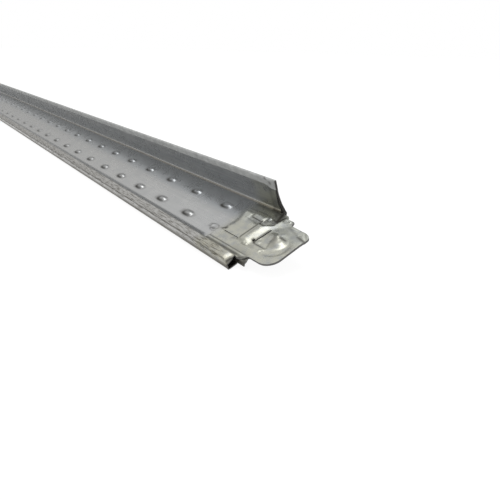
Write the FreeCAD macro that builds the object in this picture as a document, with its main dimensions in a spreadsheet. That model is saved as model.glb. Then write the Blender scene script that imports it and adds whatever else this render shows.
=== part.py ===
import FreeCAD, Part
import math
import os
import re

import Sketcher

# Ceiling grid cross tee, lying on its side as it would on a floor.
# Each piece is drawn in the tee's own axes, in millimetres: x along the tee, y rising from the bulb
# to the painted face at y = 0, z across the web. The Placement then leans it onto its side.

doc = FreeCAD.newDocument("cross_tee")

# Driving sizes
# A height is measured from the painted face towards the bulb. A reach runs past the bulb's cut end,
# and a setback runs back from it.
sizes = [
    ("tee_length", 597.0, "from the bulb's one cut end to the other"),
    ("tee_height", 28.0, "painted face to the top of the bulb"),
    ("flange_width", 24.0, "over the folded cap"),
    ("strip_thickness", 0.35, "galvanised strip, two layers of it in the web"),
    ("cap_thickness", 0.3, "painted strip"),
    ("edge_radius", 0.42, "outside of the cap's folded edge"),
    ("edge_clearance", 0.15, "flange wing to the inside of the cap's fold"),
    ("hem_width", 2.35, "cap's return over the wing, from its folded edge"),
    ("root_radius", 0.8, "inside of the bend from web to wing"),
    ("bulb_width", 4.0, "across the hollow bulb"),
    ("bulb_height", 3.85, "along the web"),
    ("bulb_corner", 0.7, "outside of the bulb's corners"),
    ("neck_radius", 0.3, "bend from web to bulb"),
    ("flange_setback", 5.0, "end of the wings at their folded edges"),
    ("flange_hollow", 0.45, "further setback halfway along each wing's end"),
    ("root_lead", 0.9, "wings' end at the web past their end at the edges"),
    ("cap_lead", 0.45, "cap's end past the end of the wings"),
    ("tab_reach", 12.6, "end of the tab"),
    ("tab_root", 3.6, "where the tab's two long edges meet the web"),
    ("tab_face_edge", 4.6, "height of the tab's edge beside the face"),
    ("tab_bulb_edge", 21.85, "height of the tab's edge beside the bulb"),
    ("tab_large_corner", 4.6, "corner that leads into the runner's slot"),
    ("tab_small_corner", 2.0, "corner beside the face"),
    ("ear_height", 2.7, "height of the ear at the tab's root"),
    ("ear_start", 0.8, "reach of the ear's near corner"),
    ("ear_end", 2.9, "reach of the ear's far corner"),
    ("lug_reach", 3.5, "rear bulb shoulder left standing"),
    ("stitch_pitch", 20.0, "between the stitches of one row"),
    ("stitch_setback", 26.6, "first stitch of the row near the face"),
    ("stitch_face_row", 8.2, "height of the row near the face"),
    ("stitch_bulb_row", 18.8, "height of the row near the bulb"),
    ("stitch_length", 5.4, "pressed oval, along the tee"),
    ("stitch_width", 3.0, "pressed oval, up the web"),
    ("stitch_rise", 0.75, "pressed out of the web"),
    ("stitch_draft", 35.0, "degrees that a stitch's sides lean in"),
    ("slot_setback", 0.5, "middle of the slot in the web"),
    ("slot_width", 0.7, "along the tee"),
    ("slot_length", 7.0, "up the web"),
    ("slot_height", 12.9, "middle of the slot"),
    ("rib_width", 5.8, "rib beside the slot, along the tee"),
    ("rib_steep_side", 2.4, "of that width, the crest to the slot"),
    ("rib_length", 11.4, "up the web"),
    ("rib_rise", 0.85, "pressed out of the web"),
    ("rib_height", 13.4, "middle of the rib"),
    ("crest_width", 0.7, "flat along the crests of rib and detent"),
    ("stamp_draft", 30.0, "degrees that the sides of lance and bead lean in"),
    ("window_setback", 7.0, "sharp edge of the raised window"),
    ("window_length", 8.8, "along the tee"),
    ("window_face_edge", 8.4, "height of its edge beside the face"),
    ("window_bulb_edge", 17.7, "height of its edge beside the bulb"),
    ("window_rise", 0.4, "pressed out of the web"),
    ("lance_setback", 5.2, "near end of the short raised lance"),
    ("lance_length", 7.2, "along the tee"),
    ("lance_width", 2.2, "up the web"),
    ("lance_height", 6.6, "middle of the lance"),
    ("lance_rise", 0.4, "pressed out of the web"),
    ("bead_setback", 17.0, "start of the bead beside the bulb"),
    ("bead_length", 17.2, "along the tee"),
    ("bead_width", 1.2, "up the web"),
    ("bead_height", 22.3, "middle of the bead"),
    ("bead_rise", 0.25, "pressed out of the web"),
    ("detent_start", 4.2, "steep side of the detent on the tab"),
    ("detent_length", 5.4, "along the tee"),
    ("detent_width", 7.4, "up the web"),
    ("detent_height", 13.9, "middle of the detent"),
    ("detent_rise", 1.45, "pressed out of the tab"),
    ("detent_steep_side", 1.0, "of its length, the start to the crest"),
]
sheet = doc.addObject("Spreadsheet::Sheet", "Sizes")
for row, (alias, number, note) in enumerate(sizes, start=1):
    sheet.set("A%d" % row, alias)
    sheet.set("B%d" % row, str(number))
    sheet.set("C%d" % row, note)
    sheet.setAlias("B%d" % row, alias)
doc.recompute()

size_names = re.compile(r"\b(" + "|".join(alias for alias, number, note in sizes) + r")\b")


# A formula in the sheet's own names, as an expression of the document
def formula(text):
    return size_names.sub(r"Sizes.\1", text)


def value(text):
    return float(sheet.evalExpression(formula(text)))


def origin_part(body, role):
    return [item for item in body.Origin.OriginFeatures if item.Role == role][0]


# A constraint whose number follows a formula
def hold(sketch, kind, *where, text):
    index = sketch.addConstraint(Sketcher.Constraint(kind, *where, value(text)))
    sketch.setExpression("Constraints[%d]" % index, formula(text))


# A closed outline: each corner has two coordinates and a radius, "0" where it is sharp.
# Construction points mark the corners, the sides run through them, and arcs round them off.
def outline(body, name, plane, corners, level="0"):
    sketch = body.newObject("Sketcher::SketchObject", name)
    sketch.AttachmentSupport = [(origin_part(body, plane), "")]
    sketch.MapMode = "FlatFace"
    sketch.setExpression("AttachmentOffset.Base.z", formula(level))
    total = len(corners)
    spots = [FreeCAD.Vector(value(across), value(up), 0) for across, up, radius in corners]
    sharp = [radius == "0" for across, up, radius in corners]
    ways = [(spots[(i + 1) % total] - spots[i]).normalize() for i in range(total)]

    starts = list(spots)
    ends = list(spots)
    arcs = {}
    for i in range(total):
        if sharp[i]:
            continue
        radius = value(corners[i][2])
        inward, outward = ways[i - 1], ways[i]
        turn = inward.getAngle(outward)
        left = inward.cross(outward).z > 0
        trim = radius * math.tan(turn / 2)
        ends[i] = spots[i] - inward * trim
        starts[i] = spots[i] + outward * trim
        side = FreeCAD.Vector(-inward.y, inward.x, 0) * (1 if left else -1)
        arcs[i] = (ends[i] + side * radius, radius, left)

    marks = [sketch.addGeometry(Part.Point(spot), True) for spot in spots]
    sides = []
    for i in range(total):
        after = (i + 1) % total
        sides.append(sketch.addGeometry(Part.LineSegment(starts[i], ends[after]), False))
    for i, (across, up, radius) in enumerate(corners):
        hold(sketch, "DistanceX", -1, 1, marks[i], 1, text=across)
        hold(sketch, "DistanceY", -1, 1, marks[i], 1, text=up)
        before = sides[i - 1]
        if sharp[i]:
            sketch.addConstraint(Sketcher.Constraint("Coincident", before, 2, marks[i], 1))
            sketch.addConstraint(Sketcher.Constraint("Coincident", sides[i], 1, marks[i], 1))
            continue
        centre, number, left = arcs[i]
        first, second = (ends[i], starts[i]) if left else (starts[i], ends[i])
        circle = Part.Circle(centre, FreeCAD.Vector(0, 0, 1), number)
        bend = Part.ArcOfCircle(circle, circle.parameter(first), circle.parameter(second))
        arc = sketch.addGeometry(bend, False)
        near, far = (1, 2) if left else (2, 1)
        sketch.addConstraint(Sketcher.Constraint("PointOnObject", marks[i], 1, before))
        sketch.addConstraint(Sketcher.Constraint("PointOnObject", marks[i], 1, sides[i]))
        sketch.addConstraint(Sketcher.Constraint("Tangent", before, 2, arc, near))
        sketch.addConstraint(Sketcher.Constraint("Tangent", arc, far, sides[i], 1))
        hold(sketch, "Radius", arc, text=radius)
    return sketch


# A box of corners round a middle point, all four rounded alike
def rounded_box(middle, height, length, width, radius):
    left = "%s - (%s) / 2" % (middle, length)
    right = "%s + (%s) / 2" % (middle, length)
    low = "-(%s) - (%s) / 2" % (height, width)
    high = "-(%s) + (%s) / 2" % (height, width)
    return [(left, low, radius), (right, low, radius), (right, high, radius), (left, high, radius)]


def pad(body, name, sketch, length, both_ways=False, taper="0"):
    feature = body.newObject("PartDesign::Pad", name)
    feature.Profile = sketch
    feature.SideType = "Symmetric" if both_ways else "One side"
    feature.setExpression("Length", formula(length))
    feature.setExpression("TaperAngle", formula(taper))
    return feature


# A pocket cuts along +z from its sketch, or evenly to both sides of it
def pocket(body, name, sketch, length, both_ways=False, taper="0"):
    feature = body.newObject("PartDesign::Pocket", name)
    feature.Profile = sketch
    feature.SideType = "Symmetric" if both_ways else "One side"
    feature.Reversed = not both_ways
    feature.setExpression("Length", formula(length))
    feature.setExpression("TaperAngle", formula(taper))
    return feature


def mirrored(body, name, originals):
    feature = body.newObject("PartDesign::Mirrored", name)
    feature.Originals = originals
    feature.MirrorPlane = (origin_part(body, "XY_Plane"), [""])
    body.Tip = feature
    return feature


# The tee rests on the fold of its lower flange edge and on the lower corner of the bulb.
# The lean is the slope of the line that touches both of those round edges from below.
fold_depth = "(2 * cap_thickness + strip_thickness - edge_radius)"
rise = "(flange_width / 2 - edge_radius - bulb_width / 2 + bulb_corner)"
run = "(tee_height - bulb_corner - %s)" % fold_depth
lean = "(atan2(%s; %s) + asin((edge_radius - bulb_corner) / hypot(%s; %s)))" % (rise, run, rise, run)
lean_terms = {"lean": lean, "fold": fold_depth}
floor_depth = "(flange_width / 2 - edge_radius) * cos({lean}) + {fold} * sin({lean}) + edge_radius"
flange_side = "(flange_width / 2 - edge_radius) * sin({lean}) - edge_radius * cos({lean}) + edge_radius"
bulb_side = (
    "(tee_height - bulb_corner) * cos({lean}) + (bulb_width / 2 - bulb_corner) * sin({lean})"
    " + bulb_corner"
)


def lay_on_side(body):
    body.Placement = FreeCAD.Placement(FreeCAD.Vector(), FreeCAD.Rotation(FreeCAD.Vector(1, 0, 0), 20))
    body.setExpression("Placement.Rotation.Angle", formula(lean))
    middle = "(%s - (%s)) / 2" % (bulb_side, flange_side)
    body.setExpression("Placement.Base.y", formula(middle.format(**lean_terms)))
    body.setExpression("Placement.Base.z", formula(floor_depth.format(**lean_terms)))


# Tee body: one galvanised strip folded into wing, web, hollow bulb, web and wing
tee = doc.addObject("PartDesign::Body", "tee_body")
tee.Label = "tee_body"

shoulder = "(tee_height - bulb_height)"
wing_tip = "flange_width / 2 - cap_thickness - edge_clearance"
bulb_inside = "bulb_corner - strip_thickness"
strip_half = [
    ("-cap_thickness", wing_tip, "0"),
    ("-cap_thickness", "0", "root_radius + strip_thickness"),
    ("-%s - strip_thickness" % shoulder, "0", "neck_radius + strip_thickness"),
    ("-%s - strip_thickness" % shoulder, "bulb_width / 2 - strip_thickness", bulb_inside),
    ("-tee_height + strip_thickness", "bulb_width / 2 - strip_thickness", bulb_inside),
    ("-tee_height + strip_thickness", "0", "0"),
    ("-tee_height", "0", "0"),
    ("-tee_height", "bulb_width / 2", "bulb_corner"),
    ("-%s" % shoulder, "bulb_width / 2", "bulb_corner"),
    ("-%s" % shoulder, "strip_thickness", "neck_radius"),
    ("-cap_thickness - strip_thickness", "strip_thickness", "root_radius"),
    ("-cap_thickness - strip_thickness", wing_tip, "0"),
]
section = outline(tee, "strip_section", "YZ_Plane", strip_half)
layer = pad(tee, "strip_layer", section, "tee_length + 2 * tab_reach", both_ways=True)
mirrored(tee, "folded_strip", [layer])

bulb_end = "tee_length / 2"

# End trim: what stays past the bulb's cut is the web's tab, with an ear at its root
past = bulb_end + " + "
back = bulb_end + " - "
trim_outline = [
    (back + "flange_setback + root_lead", "cap_thickness", "0"),
    (back + "flange_setback + root_lead", "-cap_thickness - strip_thickness - root_radius", "0"),
    (past + "ear_start", "-ear_height", "0"),
    (past + "ear_end", "-ear_height", "0"),
    (past + "tab_root", "-tab_face_edge", "0"),
    (past + "tab_reach", "-tab_face_edge", "tab_small_corner"),
    (past + "tab_reach", "-tab_bulb_edge", "tab_large_corner"),
    (past + "tab_root", "-tab_bulb_edge", "0"),
    (past + "lug_reach", "-%s - strip_thickness" % shoulder, "0"),
    (bulb_end, "-%s - strip_thickness" % shoulder, "0"),
    (bulb_end, "-tee_height - bulb_width", "0"),
    (past + "tab_reach + bulb_width", "-tee_height - bulb_width", "0"),
    (past + "tab_reach + bulb_width", "cap_thickness", "0"),
]
trim_sketch = outline(tee, "end_outline", "XY_Plane", trim_outline)
trim = pocket(tee, "end_trim", trim_sketch, "flange_width + bulb_width", both_ways=True)

# The front layer is cut back on a slant below the tab, so the rear shoulder stands alone as a lug
lug_outline = [
    (past + "tab_root", "-tab_bulb_edge", "0"),
    (bulb_end, "-%s" % shoulder, "0"),
    (bulb_end, "-tee_height", "0"),
    (past + "tab_root", "-tee_height", "0"),
]
lug_sketch = outline(tee, "front_layer_outline", "XY_Plane", lug_outline)
lug = pocket(tee, "front_layer_cut", lug_sketch, "bulb_width")


# The flange's end is slightly hollow from edge to web, the cap's a little ahead of the wings'
def flange_end(body, name, lead, depth):
    edge = back + "flange_setback + " + lead
    hollow = edge + " - flange_hollow"
    root = edge + " + root_lead"
    outside = past + "tab_reach"
    cut = [
        (edge, "flange_width / 2", "0"),
        (hollow, "flange_width / 4", "flange_width / 2"),
        (root, "0", "0"),
        (hollow, "-flange_width / 4", "flange_width / 2"),
        (edge, "-flange_width / 2", "0"),
        (outside, "-flange_width / 2", "0"),
        (outside, "flange_width / 2", "0"),
    ]
    return pocket(body, name, outline(body, name + "_outline", "XZ_Plane", cut), depth)


wing_end = flange_end(tee, "wing_end", "0", "cap_thickness + strip_thickness + root_radius")

# Stamped end: slot, rib, raised window, lance, bead and detent
slot_box = rounded_box(back + "slot_setback", "slot_height", "slot_width", "slot_length",
                       "0.45 * slot_width")
slot_sketch = outline(tee, "slot_outline", "XY_Plane", slot_box)
slot = pocket(tee, "slot", slot_sketch, "flange_width", both_ways=True)


# A stamping pressed towards +z: a tapered bump on the front and the matching dent in the back
def stamping(name, middle, height, length, width, radius, rise, taper):
    front = outline(tee, name + "_front", "XY_Plane", rounded_box(middle, height, length, width, radius),
                    level="strip_thickness")
    bump = pad(tee, name + "_bump", front, rise, taper=taper)
    inner = rounded_box(middle, height, length + " - strip_thickness", width + " - strip_thickness",
                        radius + " - 0.45 * strip_thickness")
    rear = outline(tee, name + "_rear", "XY_Plane", inner, level="-strip_thickness")
    dent = pocket(tee, name + "_dent", rear, rise, taper=taper)
    return [bump, dent]


lance = stamping("lance", back + "lance_setback - lance_length / 2", "lance_height", "lance_length",
                 "lance_width", "0.2 * lance_width", "lance_rise", "-stamp_draft")
bead = stamping("bead", back + "bead_setback + bead_length / 2", "bead_height", "bead_length",
                "bead_width", "0.3 * bead_width", "bead_rise", "-stamp_draft")

# The window has upright sides: it stands out in front, and the same outline is sunk into the back
window_outline = [
    (back + "window_setback", "-window_bulb_edge", "0.06 * window_length"),
    (back + "window_setback", "-window_face_edge", "0.06 * window_length"),
    (back + "window_setback - 1.1 * window_length", "-window_face_edge", "0.35 * window_length"),
    (back + "window_setback - 0.9 * window_length", "-window_bulb_edge", "0.15 * window_length"),
]
window_front = outline(tee, "window_front", "XY_Plane", window_outline, level="strip_thickness")
window_pad = pad(tee, "window_raised", window_front, "window_rise")
window_rear = outline(tee, "window_rear", "XY_Plane", window_outline, level="-strip_thickness")
window_cut = pocket(tee, "window_sunk", window_rear, "window_rise")


# A stamping with a crest off its middle: a loft from its foot up to the crest, and the same behind,
# drawn in by the strip's thickness. Each side is steeper the nearer the crest lies to it.
def crested(name, foot, crest, low, high, rise, round_near, round_far):
    features = []
    for kind, side, level, inset in [
        ("PartDesign::AdditiveLoft", "front", "strip_thickness", "0"),
        ("PartDesign::SubtractiveLoft", "rear", "-strip_thickness", "strip_thickness"),
    ]:
        start, end = "%s + %s" % (foot[0], inset), "%s - %s" % (foot[1], inset)
        near, far = "%s + %s / 2" % (crest[0], inset), "%s - %s / 2" % (crest[1], inset)
        bottom, top = "-(%s) + %s" % (high, inset), "-(%s) - %s" % (low, inset)
        crest_bottom, crest_top = bottom + " + " + rise, top + " - " + rise
        base = [(start, bottom, round_near), (end, bottom, round_far)]
        base += [(end, top, round_far), (start, top, round_near)]
        corner = "0.4 * (crest_width - %s)" % inset
        ridge = [(near, crest_bottom, corner), (far, crest_bottom, corner)]
        ridge += [(far, crest_top, corner), (near, crest_top, corner)]
        label = "%s_%s" % (name, side)
        crest_level = level + " + " + rise
        loft = tee.newObject(kind, label)
        loft.Profile = outline(tee, label + "_foot", "XY_Plane", base, level=level)
        loft.Sections = [outline(tee, label + "_crest", "XY_Plane", ridge, level=crest_level)]
        loft.Ruled = True
        features.append(loft)
    return features


# Rib: an easy slope up from the window, then a steeper one down to the slot
rib_end = back + "slot_setback - slot_width / 2"
rib_crest = rib_end + " - rib_steep_side"
rib = crested("rib", (rib_end + " - rib_width", rib_end),
              (rib_crest + " - crest_width / 2", rib_crest + " + crest_width / 2"),
              "rib_height - rib_length / 2", "rib_height + rib_length / 2", "rib_rise",
              "0.25 * rib_width", "0.25 * rib_width")

# Detent: steep towards the tee, a long easy slope towards the tab's end
detent_foot = past + "detent_start"
detent_crest = detent_foot + " + detent_steep_side"
detent = crested("detent", (detent_foot, detent_foot + " + detent_length"),
                 (detent_crest + " - crest_width / 2", detent_crest + " + crest_width / 2"),
                 "detent_height - detent_width / 2", "detent_height + detent_width / 2", "detent_rise",
                 "0.1 * detent_width", "0.4 * detent_width")


# The other end is this one turned half round about the tee's height
def both_ends(body, originals):
    feature = body.newObject("PartDesign::PolarPattern", body.Label + "_both_ends")
    feature.Originals = originals
    feature.Axis = (origin_part(body, "Y_Axis"), [""])
    feature.Angle = 360
    feature.Occurrences = 2
    body.Tip = feature


stamped = rib + lance + bead + [window_pad, window_cut] + detent
both_ends(tee, [trim, lug, wing_end, slot] + stamped)


# An eight-sided oval round a middle point, flat along its two long sides
def eight_sided(middle, height, length, width):
    far, near, high, low = length + " / 2", length + " / 4", width + " / 2", width + " / 5"
    signs = [(far, "-" + low), (far, low), (near, high), ("-" + near, high)]
    signs += [("-" + far, low), ("-" + far, "-" + low), ("-" + near, "-" + high), (near, "-" + high)]
    return [("%s + (%s)" % (middle, along), "-%s + (%s)" % (height, up), "0") for along, up in signs]


# Stitches: two staggered rows of ovals pressed through both layers of the web
stitch_originals = []
for row_name, height, setback in [
    ("face_row", "stitch_face_row", "stitch_setback"),
    ("bulb_row", "stitch_bulb_row", "(stitch_setback + stitch_pitch / 2)"),
]:
    middle = "%s - %s" % (bulb_end, setback)
    oval = eight_sided(middle, height, "stitch_length", "stitch_width")
    raised = outline(tee, row_name + "_oval", "XY_Plane", oval, level="strip_thickness")
    bump = pad(tee, row_name + "_bump", raised, "stitch_rise", taper="-stitch_draft")
    inner = eight_sided(middle, height, "(stitch_length - strip_thickness)",
                        "(stitch_width - strip_thickness)")
    sunk = outline(tee, row_name + "_back", "XY_Plane", inner, level="-strip_thickness")
    dent = pocket(tee, row_name + "_dent", sunk, "stitch_rise", taper="-stitch_draft")
    stitch_originals += [bump, dent]
stitches = tee.newObject("PartDesign::LinearPattern", "stitches")
stitches.Originals = stitch_originals
stitches.Direction = (origin_part(tee, "X_Axis"), [""])
stitches.Reversed = True
stitches.Mode = "Spacing"
stitches.setExpression("Offset", formula("stitch_pitch"))
stitch_run = "tee_length - 2 * stitch_setback - stitch_pitch / 2"
stitches.setExpression("Occurrences", formula("floor((%s) / stitch_pitch) + 1" % stitch_run))
tee.Tip = stitches

# Face cap: painted strip folded round both edges of the flange
cap = doc.addObject("PartDesign::Body", "face_cap")
cap.Label = "face_cap"
lip_level = "-2 * cap_thickness - strip_thickness"
fold_inside = "edge_radius - cap_thickness"
cap_half = [
    ("0", "0", "0"),
    ("0", "flange_width / 2", "edge_radius"),
    (lip_level, "flange_width / 2", "edge_radius"),
    (lip_level, "flange_width / 2 - hem_width", "0"),
    ("-cap_thickness - strip_thickness", "flange_width / 2 - hem_width", "0"),
    ("-cap_thickness - strip_thickness", "flange_width / 2 - cap_thickness", fold_inside),
    ("-cap_thickness", "flange_width / 2 - cap_thickness", fold_inside),
    ("-cap_thickness", "0", "0"),
]
cap_section = outline(cap, "cap_section", "YZ_Plane", cap_half)
cap_length = "tee_length - 2 * (flange_setback - cap_lead - root_lead)"
cap_layer = pad(cap, "cap_layer", cap_section, cap_length, both_ways=True)
mirrored(cap, "folded_cap", [cap_layer])
cap_end = flange_end(cap, "cap_end", "cap_lead", "2 * cap_thickness + strip_thickness")
both_ends(cap, [cap_end])

pieces = [tee, cap]
for piece in pieces:
    lay_on_side(piece)
doc.recompute()

# Nothing is written unless every feature and every piece came out sound
failed = [item.Name for item in doc.Objects if "Invalid" in item.State or "Error" in item.State]
failed += [piece.Label for piece in pieces if piece.Shape.isNull() or not piece.Shape.isValid()]
if failed:
    raise RuntimeError("these did not build: " + ", ".join(failed))

os.makedirs("parts", exist_ok=True)
for piece in pieces:
    piece.Shape.exportStep("parts/%s.step" % piece.Label)
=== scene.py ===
import math
import bpy
import numpy as np
from mathutils import Matrix


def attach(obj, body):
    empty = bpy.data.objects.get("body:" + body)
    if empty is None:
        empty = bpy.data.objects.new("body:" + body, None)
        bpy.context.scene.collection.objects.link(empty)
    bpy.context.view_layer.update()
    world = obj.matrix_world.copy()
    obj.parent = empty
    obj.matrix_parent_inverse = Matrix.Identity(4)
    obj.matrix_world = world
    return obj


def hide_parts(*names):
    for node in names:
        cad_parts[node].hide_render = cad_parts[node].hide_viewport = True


# Ceiling grid cross tee: folded steel strip, painted face cap and a plain white studio.
# Shapes are worked out in the tee's own millimetres: along the tee, height from the painted face
# towards the bulb, and across the web. toWorld lays them on the floor in metres.

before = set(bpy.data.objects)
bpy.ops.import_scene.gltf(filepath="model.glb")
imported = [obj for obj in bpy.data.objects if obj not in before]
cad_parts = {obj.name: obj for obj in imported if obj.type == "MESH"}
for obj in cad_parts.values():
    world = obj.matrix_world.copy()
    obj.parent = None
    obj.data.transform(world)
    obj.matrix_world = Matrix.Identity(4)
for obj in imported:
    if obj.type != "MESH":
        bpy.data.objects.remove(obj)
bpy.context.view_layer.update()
print("frame loaded:", sorted(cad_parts))

lay = {
    "lean": 20.447926,      # degrees, web against the floor
    "shiftY": 11.33099,
    "shiftZ": 11.4555,
    "half": 298.5,          # middle of the tee to the bulb's cut end
}
slack = 0.01                # play when two places are compared
tiny = 1e-9                 # keeps a divisor off 0
sharpAngle = 38             # degrees, an edge that turns by more is shaded sharp


# Turns (along, -height, across) about the length by the lean, then shifts it onto the floor
def toWorld(along, height, across):
    lean = math.radians(lay["lean"])
    y = -height * math.cos(lean) - across * math.sin(lean) + lay["shiftY"]
    z = -height * math.sin(lean) + across * math.cos(lean) + lay["shiftZ"]
    return np.stack(np.broadcast_arrays(along, y, z), axis=-1) * 0.001


# Straight share of the way from start to end, 0 before it and 1 after it
def wayShare(value, start, end):
    return np.clip((value - start) / (end - start), 0, 1)


# The same share t eased at both ends: 3t^2 - 2t^3
def ease(value, start, end):
    t = wayShare(value, start, end)
    return t * t * (3 - 2 * t)


# A plateau along one direction: eased up from low - slope to low, eased down from high to high + slope
def plateau(value, low, high, slopeLow, slopeHigh):
    return ease(value, low - slopeLow, low) * (1 - ease(value, high, high + slopeHigh))


# Distance from the point (u, v) to the straight run between two points
def runDistance(u, v, start, end):
    du = end[0] - start[0]
    dv = end[1] - start[1]
    t = np.clip(((u - start[0]) * du + (v - start[1]) * dv) / (du * du + dv * dv), 0, 1)
    return np.hypot(u - start[0] - t * du, v - start[1] - t * dv)


# The share of a bump at q, 0 on its middle and 1 on its foot: level up to flat, then a nearly straight
# slope, six parts straight and four parts eased
def bumpShare(q, flat):
    t = np.clip((1 - q) / (1 - flat), 0, 1)
    return 0.6 * t + 0.4 * t * t * (3 - 2 * t)


# A bell round the middle: exp of -((value - middle) / width)^2
def bell(value, middle, width):
    return np.exp(-((value - middle) / width) ** 2)


# A new object of the scene, at the origin
def addObject(name, data):
    made = bpy.data.objects.new(name, data)
    bpy.context.scene.collection.objects.link(made)
    return made


# A sheet with two faces: the kept cells of the outer grid, the same cells of the inner grid turned
# over, and a wall along every edge that belongs to one kept cell only. Slots: outer, wall, inner.
def sheetMesh(name, outer, inner, kept, turned, materials, shadeAndGrime):
    rows, cols = outer.shape[:2]
    total = rows * cols
    index = np.arange(total).reshape(rows, cols)
    corners = [index[:-1, :-1], index[:-1, 1:], index[1:, 1:], index[1:, :-1]]
    quads = np.stack(corners, axis=-1)[kept]
    if turned:
        quads = quads[:, ::-1]
    edges = np.concatenate([quads[:, [i, (i + 1) % 4]] for i in range(4)])
    keys = edges.min(axis=1) * total + edges.max(axis=1)
    found, first, count = np.unique(keys, return_index=True, return_counts=True)
    rim = edges[first[count == 1]]
    walls = np.stack([rim[:, 1], rim[:, 0], rim[:, 0] + total, rim[:, 1] + total], axis=-1)
    faces = np.concatenate([quads, quads[:, ::-1] + total, walls])
    used, faces = np.unique(faces, return_inverse=True)
    faces = faces.reshape(-1, 4)
    points = np.concatenate([outer.reshape(-1, 3), inner.reshape(-1, 3)])[used]
    mesh = bpy.data.meshes.new(name)
    mesh.from_pydata(points.tolist(), [], faces.tolist())
    slots = np.zeros(len(faces), dtype=np.int32)
    slots[len(quads):2 * len(quads)] = 2
    slots[2 * len(quads):] = 1
    mesh.polygons.foreach_set("material_index", slots)
    mesh.polygons.foreach_set("use_smooth", np.ones(len(faces), dtype=bool))
    mesh.set_sharp_from_angle(angle=math.radians(sharpAngle))
    for material in materials:
        mesh.materials.append(material)
    shadeAndSoil = mesh.attributes.new("shadeAndGrime", "FLOAT", "POINT")
    shadeAndSoil.data.foreach_set("value", np.tile(shadeAndGrime.ravel(), 2)[used].astype(np.float32))
    mesh.update()
    print(name, "faces:", len(faces))
    return addObject(name, mesh)


# Materials

def addNode(tree, kind, values=None, **settings):
    made = tree.nodes.new(kind)
    for key, setting in settings.items():
        setattr(made, key, setting)
    for key, number in (values or {}).items():
        made.inputs[key].default_value = number
    return made


# Object coordinates turned back into the tee's own millimetres: x along, y = -height, z across
def teePlace(tree):
    lean = math.radians(lay["lean"])
    spot = addNode(tree, "ShaderNodeTexCoord")
    y = lay["shiftY"] * math.cos(lean) + lay["shiftZ"] * math.sin(lean)
    z = -lay["shiftY"] * math.sin(lean) + lay["shiftZ"] * math.cos(lean)
    back = addNode(tree, "ShaderNodeMapping", {
        "Scale": (1000, 1000, 1000), "Rotation": (-lean, 0, 0), "Location": (0, -y, -z)})
    tree.links.new(spot.outputs["Object"], back.inputs["Vector"])
    return back.outputs["Vector"]


# Gives an input another node's output, a colour or a number
def feed(tree, item, socket):
    if isinstance(item, bpy.types.NodeSocket):
        tree.links.new(item, socket)
    elif isinstance(item, tuple):
        socket.default_value = (*item, 1)
    else:
        socket.default_value = item


# A colour mix: this node has its colours at the inputs 6 and 7 and the mixed one at the output 2
def mixColour(tree, factor, first, second, blend="MIX"):
    mix = addNode(tree, "ShaderNodeMix", data_type="RGBA", blend_type=blend)
    feed(tree, factor, mix.inputs[0])
    feed(tree, first, mix.inputs[6])
    feed(tree, second, mix.inputs[7])
    return mix.outputs[2]


def mapRange(tree, value, low, high, toLow=0.0, toHigh=1.0):
    made = addNode(tree, "ShaderNodeMapRange", {
        "From Min": low, "From Max": high, "To Min": toLow, "To Max": toHigh})
    tree.links.new(value, made.inputs["Value"])
    return made.outputs["Result"]


def doMath(tree, operation, first, second):
    made = addNode(tree, "ShaderNodeMath", operation=operation)
    feed(tree, first, made.inputs[0])
    feed(tree, second, made.inputs[1])
    return made.outputs["Value"]


def times(tree, first, second):
    return doMath(tree, "MULTIPLY", first, second)


# 1 inside a band, with a straight fall at its two ends
def bandShare(tree, value, ends):
    return times(tree, mapRange(tree, value, *ends[0]), mapRange(tree, value, *ends[1]))


def addBump(tree, shader, height, strength, distance):
    bump = addNode(tree, "ShaderNodeBump", {"Strength": strength, "Distance": distance})
    tree.links.new(height, bump.inputs["Height"])
    tree.links.new(bump.outputs["Normal"], shader.inputs["Normal"])


# Noise over a place, with a number or a socket for its scale
def noiseAt(tree, place, scale, detail, roughness=0.5):
    made = addNode(tree, "ShaderNodeTexNoise", {"Detail": detail, "Roughness": roughness})
    tree.links.new(place, made.inputs["Vector"])
    feed(tree, scale, made.inputs["Scale"])
    return made.outputs["Fac"]


# A place with its x times the share, which draws noise out along the tee
def drawnOut(tree, place, share):
    made = addNode(tree, "ShaderNodeMapping", {"Scale": (share, 1, 1)})
    tree.links.new(place, made.inputs["Vector"])
    return made.outputs["Vector"]


# A group that takes a place and numbers, and gives numbers
def newGroup(name, inputs, outputs):
    group = bpy.data.node_groups.new(name, "ShaderNodeTree")
    group.interface.new_socket("Place", in_out="INPUT", socket_type="NodeSocketVector")
    for label in inputs:
        group.interface.new_socket(label, in_out="INPUT", socket_type="NodeSocketFloat")
    for label in outputs:
        group.interface.new_socket(label, in_out="OUTPUT", socket_type="NodeSocketFloat")
    start = group.nodes.new("NodeGroupInput")
    end = group.nodes.new("NodeGroupOutput")
    return group, start, end


# Rolling streaks and mottling: noise drawn out along the strip, and a slow cloudy noise
def makeRollMarks():
    group, start, end = newGroup("rollMarks", ("Fineness", "Cloud"), ("Streaks", "Mottle"))
    place = start.outputs["Place"]
    streaks = noiseAt(group, drawnOut(group, place, 0.018), start.outputs["Fineness"], 5, 0.62)
    mottle = noiseAt(group, place, start.outputs["Cloud"], 4, 0.55)
    group.links.new(streaks, end.inputs["Streaks"])
    group.links.new(mottle, end.inputs["Mottle"])
    return group


# Handling dirt: sparse specks, and smears drawn out along the strip
def makeHandlingDirt():
    group, start, end = newGroup("handlingDirt", (), ("Specks", "Smears"))
    place = start.outputs["Place"]
    spots = noiseAt(group, place, 0.55, 3, 0.6)
    lines = noiseAt(group, drawnOut(group, place, 0.1), 2.6, 5, 0.72)
    group.links.new(mapRange(group, spots, 0.70, 0.78), end.inputs["Specks"])
    group.links.new(mapRange(group, lines, 0.46, 0.61), end.inputs["Smears"])
    return group


rollMarks = makeRollMarks()
handlingDirt = makeHandlingDirt()


def useGroup(tree, group, place, values=None):
    made = addNode(tree, "ShaderNodeGroup", values, node_tree=group)
    tree.links.new(place, made.inputs["Place"])
    return made.outputs


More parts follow.
